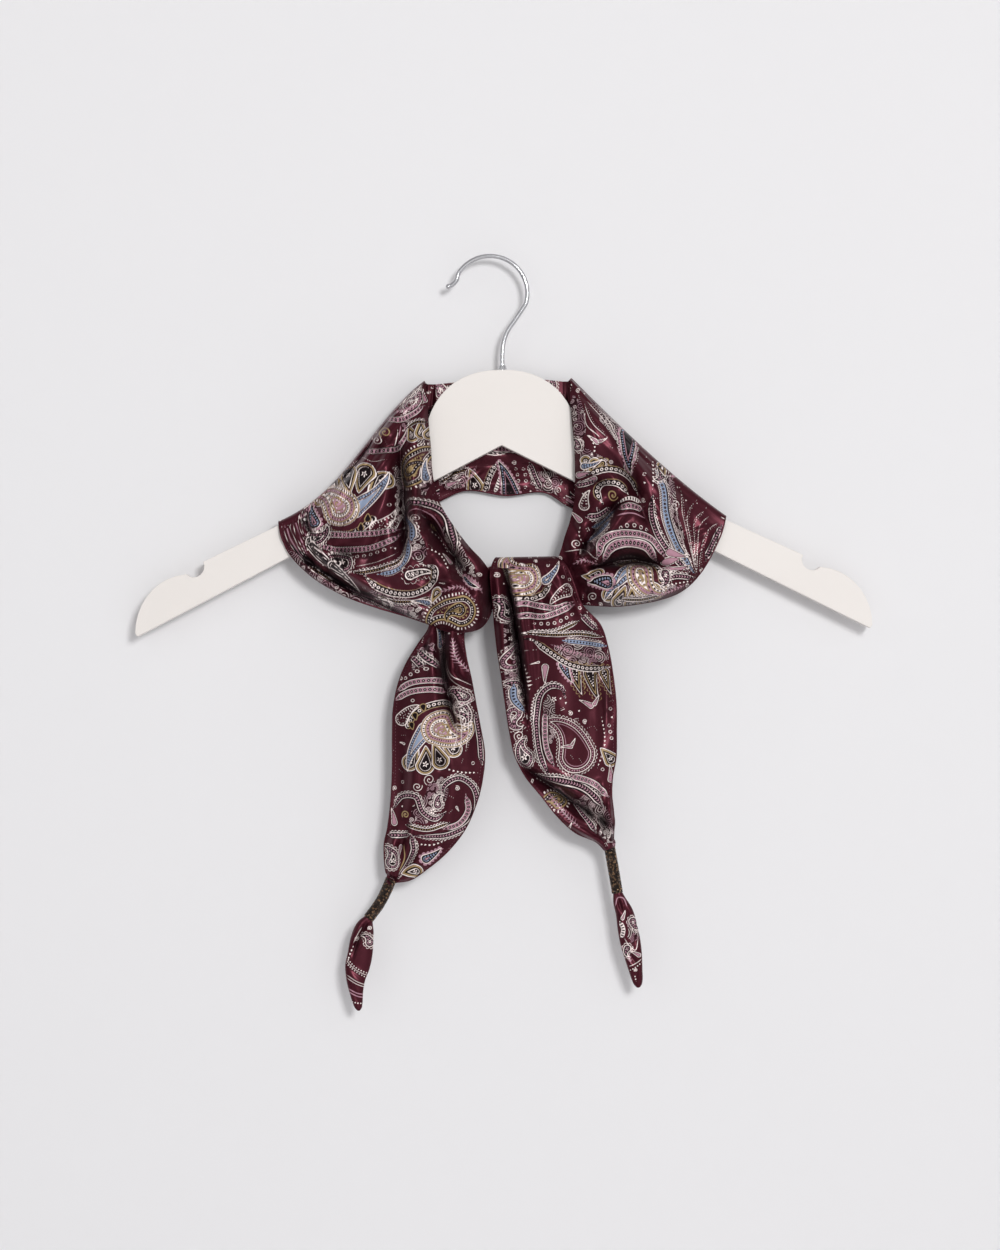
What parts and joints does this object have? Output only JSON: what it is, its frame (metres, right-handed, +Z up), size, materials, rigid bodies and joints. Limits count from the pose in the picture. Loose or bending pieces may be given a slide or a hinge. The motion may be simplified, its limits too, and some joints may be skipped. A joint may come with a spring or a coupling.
{
  "type": "triangle scarf on a clothes hanger",
  "caption": "Knotted triangle scarf with beaded pointed ends, hung on a flat shoulder hanger with a wire hook.",
  "frame": {"origin": "top of the inside of the hanger's hook, where a rail or peg carries it", "axes": "+Z up, +X to the viewer's right along the hanger's arms, +Y away from the viewer, towards the wall"},
  "size_m": [0.441, 0.0425, 0.4534],
  "materials": {
    "satin": "burgundy printed satin with a soft sheen",
    "white_wood": "smooth off-white paint, low sheen",
    "chrome": "polished wire",
    "dark_beads": "small bronze-lined glass beads, glossy"
  },
  "bodies": {
    "root": {"hanger_board": "white_wood", "hanger_hook": "chrome", "scarf_neck_band": "satin", "scarf_left_wing": "satin", "scarf_right_wing": "satin", "scarf_knot_wrap": "satin", "scarf_left_tail": "satin", "scarf_right_tail": "satin", "left_bead_sleeve": "dark_beads", "right_bead_sleeve": "dark_beads", "left_leaf_tip": "satin", "right_leaf_tip": "satin", "right_end_knob": "satin"}
  },
  "joints": []
}
